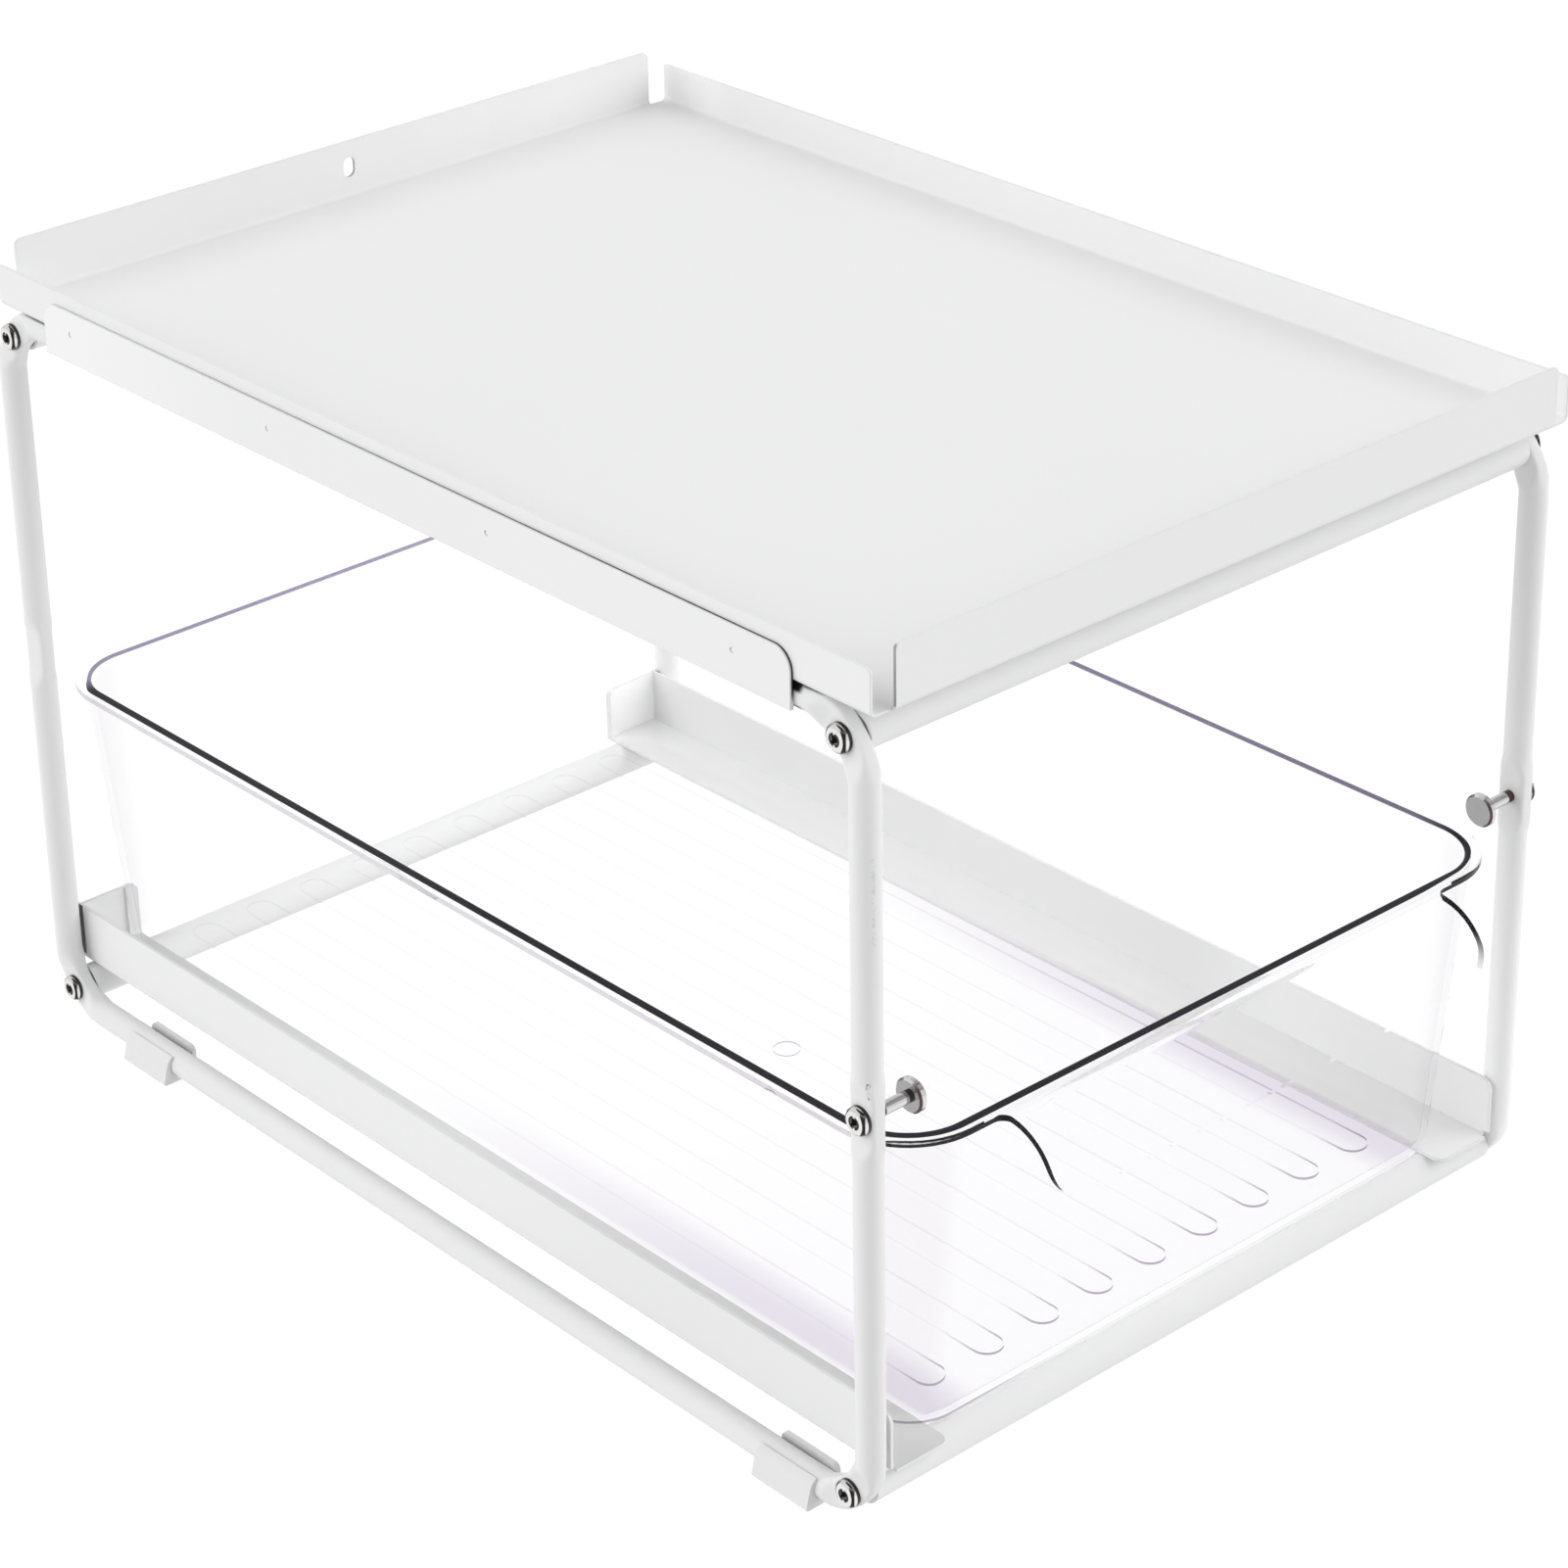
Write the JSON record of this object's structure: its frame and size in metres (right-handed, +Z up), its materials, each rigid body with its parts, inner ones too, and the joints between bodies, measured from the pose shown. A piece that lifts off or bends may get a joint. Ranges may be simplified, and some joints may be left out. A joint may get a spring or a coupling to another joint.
{
  "type": "under sink organizer",
  "caption": "Free-standing steel tube organizer with a flanged tray on top and a clear pull-out drawer on rails below.",
  "frame": {"origin": "on the floor, under the middle of the whole organizer's outline with the drawer closed", "axes": "+X to the right seen from the front, +Y to the back, +Z up; the drawer opens along -Y"},
  "size_m": [0.3082, 0.4746, 0.3045],
  "materials": {
    "powder_coat": "satin white powder coat",
    "chrome": "polished",
    "foot_plastic": "fine matt",
    "insert_steel": "plain",
    "clear_plastic": "clear, gloss"
  },
  "bodies": {
    "frame": {"tray": "powder_coat", "apron_left": "powder_coat", "apron_right": "powder_coat", "side_frame_left": "powder_coat", "side_frame_right": "powder_coat", "cross_tube_top_front": "powder_coat", "cross_tube_top_back": "powder_coat", "cross_tube_low_front": "powder_coat", "cross_tube_low_back": "powder_coat", "rail_left": "powder_coat", "rail_right": "powder_coat", "frame_screws_left": "chrome", "frame_screws_right": "chrome", "retaining_pin_left": "chrome", "retaining_pin_right": "chrome", "pin_screw_left": "chrome", "pin_screw_right": "chrome", "foot_front_left": "foot_plastic", "foot_front_right": "foot_plastic", "foot_back_left": "foot_plastic", "foot_back_right": "foot_plastic", "tube_inserts": "insert_steel"},
    "drawer": {"drawer": "clear_plastic"}
  },
  "joints": [
    {"name": "drawer_slide", "type": "slide", "parent": "frame", "child": "drawer", "axis": [0, -1, 0], "range_m": [0, 0.28]}
  ]
}
